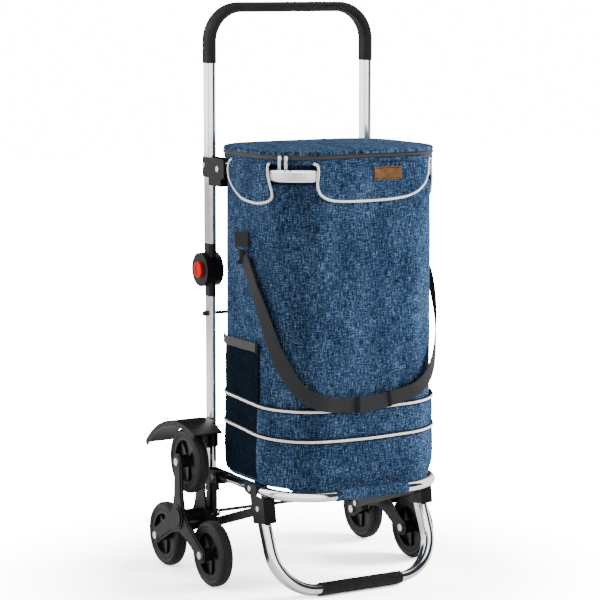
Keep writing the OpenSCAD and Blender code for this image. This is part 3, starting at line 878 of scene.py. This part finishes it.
lid_rows = [(790.0, 4.2), (791.2, 4.7), (793.0, 4.6), (794.8, 3.6), (796.2, 1.4), (797.0, -2.0)]
for k in range(1, 15):
    t = k / 14
    lid_rows.append((797.0 + 2.6 * math.sin(t * math.pi / 2), -2.0 - 84 * t))
rows, uvs = [], []
for z, o in lid_rows:
    w = relief(c, np.full_like(c, 800 + o)) * smooth(-2, -40, o) * 0.5 if o < -2 else 0
    rows.append(on_bag(c, z, o) + (np.array([0, 0, 1.0]) * (w if np.ndim(w) == 0 else w[:, None])))
    uvs.append(rows[-1][:, :2].copy())
side_uv = [np.stack([c, np.full_like(c, z)], axis=1) for z, _ in lid_rows[:4]]
P = np.stack(rows)
m, q = P.shape[:2]
V = P.reshape(-1, 3)
faces = []
for i in range(m - 1):
    for j in range(q - 1):
        a = i * q + j
        faces.append((a, a + 1, a + q + 1, a + q))
# middle of the lid, and its underside
mid = [(m - 1) * q + j for j in range(q - 1)]
faces.append(tuple(mid))
under = len(V)
low = on_bag(c, 789.9, -3.0)
V = np.concatenate([V, low])
for j in range(q - 1):
    faces.append((j + 1, j, under + j, under + j + 1))
faces.append(tuple(under + j for j in reversed(range(q - 1))))
uv = np.concatenate([np.concatenate(uvs), low[:, :2]])
lid = add("lid_cloth", V, faces, blue, uv, sharp=60)
soft(lid, "blue_fabric", body="lid")

# cloth hinge that joins the lid to the back of the bag
hx = np.linspace(-82, 82, 42)
hinge_rows = [(766, 2.2), (769, 4.2), (772, 5.4)] + [(774 + 1.1 * k, 6.3) for k in range(19)] + [(795.4, 5.8), (796.6, 4.6)]
HP = np.stack([np.stack([-hx, np.full_like(hx, BACK + o), np.full_like(hx, z)], axis=1) for z, o in hinge_rows])
HN = np.broadcast_to(np.array([0.0, 1.0, 0.0]), HP.shape)
HU = np.stack([np.stack([hx, np.full_like(hx, z)], axis=1) for z, _ in hinge_rows])
hinge = grid_piece("lid_hinge_cloth", HP, blue, HU, 1.1, HN)
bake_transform(hinge)

# ---------------------------------------------------------------- zip pulls
for k, turn in enumerate((-3.6, 3.6)):
    a = math.radians(-50 + turn)
    out = np.array([math.sin(a), -math.cos(a), 0])
    across = np.array([math.cos(a), math.sin(a), 0])
    up = np.array([0, 0, 1.0])
    o = np.array([-86.0, -196.0, 0])
    slider = round_box(
        f"zip_slider_{k + 1}", o + out * 93.5 + up * 785.5, (6.5, 3.0, 8.5), steel, 1.1, [across, out, up]
    )
    soft(slider, "steel", *(("zip_sliders",) if k == 0 else ()))
    pts = [o + out * (95.8 - 0.9 * t) + up * (786.5 - 21.5 * t) for t in np.linspace(0, 1, 14)]
    width = [1.7 + 0.9 * math.sin(math.pi * t) ** 0.6 + 0.5 * t for t in np.linspace(0, 1, 14)]
    pull = profile_path(
        f"zip_pull_{k + 1}", pts, [out] * 14, 0.7, np.array(width), steel, 12, square=0.7
    )
    soft(pull, "steel")
    hole = o + out * 95.6 + up * 767.2
    dot = profile_path(
        f"zip_pull_eye_{k + 1}",
        [hole - out * 0.4, hole + out * 0.5],
        [up, up],
        1.3,
        1.1,
        black_tape,
        12,
    )
    soft(dot, "steel")

# ---------------------------------------------------------------- shoulder strap
STRAP = [
    (282, 604, 9.5), (294, 590, 9.5), (313, 562, 9.5), (331, 534.5, 9.5), (347, 500.8, 9.5), (357, 475, 9.5),
    (367, 449.5, 9.5), (384, 415.4, 9.5), (398, 391.5, 10), (414, 372.5, 10.5), (433, 359.8, 11),
    (456, 352.5, 11.5), (490, 348.6, 11.5), (530, 347.6, 11.5), (577, 352.8, 11.5), (604, 356.9, 11.5),
    (628, 363.0, 11.2), (650, 374, 11), (668, 388.5, 11), (684, 408, 11), (700, 436, 11), (714, 470, 11.5),
    (730, 506, 11.5), (748, 545, 11), (770, 580, 10), (796, 604, 9.5),
]
line = spline(STRAP, 220)
strap_pts = on_bag(line[:, 0], line[:, 1], line[:, 2])
strap_nrm = normals_at(line[:, 0])
strap = profile_path("shoulder_strap_band", strap_pts, strap_nrm, 1.15, 13.0, webbing, 20, square=0.4)
k0, k1 = [int(np.argmin(np.abs(line[:, 0] - s))) for s in (PERIM / 2 - 26, PERIM / 2 + 38)]
sleeve = profile_path(
    "strap_keeper", strap_pts[k0 : k1 + 1] + strap_nrm[k0 : k1 + 1] * 0.6, strap_nrm[k0 : k1 + 1], 2.9, 13.8, webbing, 20, square=0.4
)
loops = []
for k, i in enumerate((k0, k1)):
    loops.append(
        profile_path(
            f"strap_loop_{k + 1}",
            strap_pts[i - 1 : i + 2] + strap_nrm[i - 1 : i + 2] * 0.6,
            strap_nrm[i - 1 : i + 2],
            3.5,
            14.1,
            black_tape,
            20,
            square=0.4,
        )
    )
soft(strap, "webbing", "shoulder_strap")
soft(sleeve, "webbing")
for l in loops:
    soft(l, "webbing")

# hooks and tabs at both ends
for side, sg in (("left", 1), ("right", -1)):
    first = side == "left"
    s = 276.0 if first else PERIM - 276.0
    base = on_bag(np.array([s]), 0, 0)[0]
    sx = -1 if first else 1
    w = np.array([sx * 0.62, 0.78, 0.0])
    w /= np.linalg.norm(w)
    nrm = np.array([w[1] * sx, -abs(w[0]), 0.0])
    nrm /= np.linalg.norm(nrm)
    centre = base + np.array([sx * 10.5, -1.5, 0])
    up = np.array([0, 0, 1.0])
    tab = round_box(
        f"strap_tab_{side}", centre + up * 637, (26, 3.6, 27), webbing, 1.1, [w, nrm, up]
    )
    soft(tab, "webbing", *(("strap_hooks",) if first else ()))
    ring_pts = [
        centre + w * x + up * z
        for x, z in closed_loop([(-11, 627), (11, 627), (11, 621), (5, 616), (-5, 616), (-11, 621), (-11, 627)], 40)[:-1]
    ]
    dring = profile_path(f"strap_ring_{side}", ring_pts, [nrm] * len(ring_pts), 1.6, 1.6, black_metal, 8, closed=True)
    soft(dring, "black_metal")
    hook = round_box(
        f"strap_hook_{side}", centre + up * 608.5 - w * 1.0, (12, 5.5, 21), black_plastic, 2.2, [w, nrm, up]
    )
    soft(hook, "black_plastic")
    eye = round_box(
        f"strap_swivel_{side}", centre + up * 596 - w * 2.0, (24, 5.0, 7), black_plastic, 2.0, [w, nrm, up]
    )
    soft(eye, "black_plastic")

# ---------------------------------------------------------------- base board
bs2 = np.linspace(0, PERIM, 97)[:-1]
ox, oy, onx, ony = ring(bs2)
bmin, bmax = [np.array(c) for c in BOARD_BOX]
inset_board = HW - bmax[0]
board_rows = []
for z_, q_ in ((bmin[2] + 0.1, 1.2), (bmin[2] + 0.6, 0.3), (bmin[2] + 1.3, 0.0), (bmax[2] - 1.3, 0.0), (bmax[2] - 0.6, 0.3), (bmax[2] - 0.1, 1.2)):
    board_rows.append(np.stack([ox - onx * (inset_board + q_), oy - ony * (inset_board + q_), np.full_like(ox, z_)], axis=1))
nb_ = len(bs2)
BV = np.concatenate(board_rows)
BF = [tuple(range(nb_))[::-1], tuple(range(5 * nb_, 6 * nb_))]
for k in range(5):
    BF += [(k * nb_ + (i + 1) % nb_, k * nb_ + i, (k + 1) * nb_ + i, (k + 1) * nb_ + (i + 1) % nb_) for i in range(nb_)]
board = add("base_board_stiffener", BV, BF, board_grey, BV[:, :2], sharp=50)
soft(board, "board", "base_board")

# ---------------------------------------------------------------- cloth sleeve on the platform's bar
sx_ = np.linspace(-74, 74, 75)
an_ = np.linspace(-math.pi / 2, 1.5 * math.pi, 49)
SX, AN = np.meshgrid(sx_, an_, indexing="ij")
hem = 0.35 * (1 - smooth(0, 3, 74 - np.abs(SX))) + 0.45 * (smooth(5.5, 6.5, 74 - np.abs(SX)) - smooth(6.5, 7.5, 74 - np.abs(SX)))
crease = np.array([noise.noise(Vector((a / 16, math.cos(b) * 1.3, math.sin(b) * 1.3))) for a, b in zip(SX.ravel(), AN.ravel())])
rad = 10.4 + 0.35 * crease.reshape(SX.shape) - hem
out_ = np.stack([np.zeros_like(SX), np.cos(AN), np.sin(AN)], axis=-1)
SP = np.stack([SX, -296 + rad * np.cos(AN), 190 + rad * np.sin(AN)], axis=-1)
sleeve_piece = grid_piece("platform_sleeve_cloth", SP, blue, np.stack([SX, AN * 10.4], axis=-1), 1.2, out_)
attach(sleeve_piece, "platform")
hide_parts("platform_sleeve")

# ---------------------------------------------------------------- tyres
prof = []
for r, x in (
    (41.3, -10.2), (46, -10.4), (47.2, -11.6), (48.4, -10.7), (50.5, -11.4), (53, -12.2), (55.4, -11.6),
    (57.4, -9.6), (58.6, -7.8), (57.9, -7.1), (57.9, -6.3), (59.4, -5.6), (59.9, -3.4), (59.1, -2.8), (59.1, -2.1),
    (60.0, -1.4), (60.0, 1.4), (59.1, 2.1), (59.1, 2.8), (59.9, 3.4), (59.4, 5.6), (57.9, 6.3), (57.9, 7.1),
    (58.6, 7.8), (57.4, 9.6), (55.4, 11.6), (53, 12.2), (50.5, 11.4), (48.4, 10.7), (47.2, 11.6), (46, 10.4), (41.3, 10.2),
):
    prof.append((r, x))
for side, sx in (("left", -1), ("right", 1)):
    for k, place in enumerate(("top", "front", "back")):
        a = math.radians(90 + 120 * k)
        cy, cz = -8 + 104 * math.cos(a), 112 + 104 * math.sin(a)
        t = spin_x(f"tyre_{side}_{place}_looks", prof, (sx * 214.5, cy, cz), tyre_rubber)
        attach(t, f"wheel_{side}_{place}")
        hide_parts(f"tyre_{side}_{place}")

# ---------------------------------------------------------------- CAD nodes' shading
for o in frame["nodes"].values():
    if len(o.data.polygons):
        o.data.shade_smooth()
        o.data.set_sharp_from_angle(angle=math.radians(32))

# ---------------------------------------------------------------- floor and light
floor_mat = Mat("floor")
fn = floor_mat.noise(floor_mat.coords((1, 1, 1)), 3, 2)
floor_mat.link(
    floor_mat.ramp(fn, [(0.3, (0.90, 0.90, 0.90)), (0.7, (0.92, 0.92, 0.92))]),
    floor_mat.b.inputs["Base Color"],
)
floor_mat.set(Roughness=0.6)
ft = floor_mat.mat.node_tree
seen = floor_mat.new("ShaderNodeBsdfDiffuse")
seen.inputs["Color"].default_value = (5.2, 5.2, 5.2, 1)
far = floor_mat.new("ShaderNodeVectorMath", operation="LENGTH")
ft.links.new(floor_mat.coords((1, 1, 1)), far.inputs[0])
glow = floor_mat.new("ShaderNodeEmission")
ft.links.new(floor_mat.span(far.outputs["Value"], 0.34, 1.05, 0.2, 20.0), glow.inputs["Strength"])
both = floor_mat.new("ShaderNodeAddShader")
ft.links.new(seen.outputs[0], both.inputs[0])
ft.links.new(glow.outputs[0], both.inputs[1])
flp = floor_mat.new("ShaderNodeLightPath")
pick = floor_mat.new("ShaderNodeMixShader")
ft.links.new(flp.outputs["Is Camera Ray"], pick.inputs[0])
ft.links.new(floor_mat.b.outputs[0], pick.inputs[1])
ft.links.new(both.outputs[0], pick.inputs[2])
fout = [q for q in ft.nodes if q.type == "OUTPUT_MATERIAL"][0]
ft.links.new(pick.outputs[0], fout.inputs["Surface"])
me = bpy.data.meshes.new("floor")
me.from_pydata([(-9, -9, 0), (9, -9, 0), (9, 9, 0), (-9, 9, 0)], [], [(0, 1, 2, 3)])
me.materials.append(floor_mat.mat)
floor = bpy.data.objects.new("floor", me)
floor.location.z = -0.0006
scene.collection.objects.link(floor)


def area(name, loc, target, size, power, colour=(1, 1, 1), size_y=None):
    l = bpy.data.lights.new(name, "AREA")
    l.energy = power
    l.color = colour
    l.shape = "RECTANGLE"
    l.size = size
    l.size_y = size_y or size
    o = bpy.data.objects.new(name, l)
    o.location = loc
    o.rotation_euler = (Vector(target) - Vector(loc)).to_track_quat("-Z", "Y").to_euler()
    scene.collection.objects.link(o)
    return o


for l in (
    area("key", (3.1, -1.2, 1.5), (0, 0, 0.5), 1.2, 275, size_y=1.8),
    area("fill", (-2.8, 0.5, 1.4), (0, 0, 0.5), 1.4, 44, size_y=1.8),
    area("top", (0.2, 0.1, 2.8), (0, 0, 0.5), 1.6, 15),
    area("rim", (-0.9, 2.4, 1.6), (0, 0, 0.6), 1.0, 30, size_y=1.8),
):
    l.visible_glossy = False  # reflections come from the sky's bands

world = bpy.data.worlds.new("world")
scene.world = world
world.use_nodes = True
wt = world.node_tree
wt.nodes.clear()
wo = wt.nodes.new("ShaderNodeOutputWorld")
bg = wt.nodes.new("ShaderNodeBackground")
bg.inputs["Strength"].default_value = 0.62
wt.links.new(bg.outputs[0], wo.inputs[0])
tc = wt.nodes.new("ShaderNodeTexCoord")
gr = wt.nodes.new("ShaderNodeTexGradient")
gr.gradient_type = "RADIAL"
wt.links.new(tc.outputs["Generated"], gr.inputs["Vector"])
wr = wt.nodes.new("ShaderNodeValToRGB")
wr.color_ramp.interpolation = "EASE"
def sky_ramp(stops, ramp):
    els = ramp.color_ramp.elements
    while len(els) < len(stops):
        els.new(0.5)
    for k, (p, v) in enumerate(stops):
        els[k].position = p
        els[k].color = (v, v, v, 1)
    wt.links.new(gr.outputs["Fac"], ramp.inputs["Fac"])
    return ramp


sky_ramp([
    (0.00, 1.0), (0.16, 1.15), (0.255, 1.0), (0.285, 0.015), (0.425, 0.015), (0.455, 0.75), (0.60, 0.75), (0.635, 0.20),
    (0.66, 0.015), (0.79, 0.015), (0.815, 1.1), (0.90, 1.1), (0.915, 0.10), (0.935, 0.10), (0.955, 1.0),
], wr)
soft_sky = wt.nodes.new("ShaderNodeValToRGB")
soft_sky.color_ramp.interpolation = "EASE"
sky_ramp([(0.00, 0.85), (0.12, 0.30), (0.22, 0.42), (0.33, 0.95), (0.45, 1.1), (0.62, 0.9), (0.80, 0.7), (1.0, 0.85)], soft_sky)
lp = wt.nodes.new("ShaderNodeLightPath")
mix = wt.nodes.new("ShaderNodeMixRGB")
mix.inputs[2].default_value = (26, 26, 26, 1)
bright = wt.nodes.new("ShaderNodeMixRGB")
bright.blend_type = "MULTIPLY"
bright.inputs[0].default_value = 1
bright.inputs[2].default_value = (4.4, 4.4, 4.4, 1)
wt.links.new(wr.outputs["Color"], bright.inputs[1])
gloss = wt.nodes.new("ShaderNodeMixRGB")
wt.links.new(lp.outputs["Is Glossy Ray"], gloss.inputs[0])
wt.links.new(soft_sky.outputs["Color"], gloss.inputs[1])
wt.links.new(bright.outputs["Color"], gloss.inputs[2])
wt.links.new(lp.outputs["Is Camera Ray"], mix.inputs[0])
wt.links.new(gloss.outputs["Color"], mix.inputs[1])
wt.links.new(mix.outputs[0], bg.inputs["Color"])
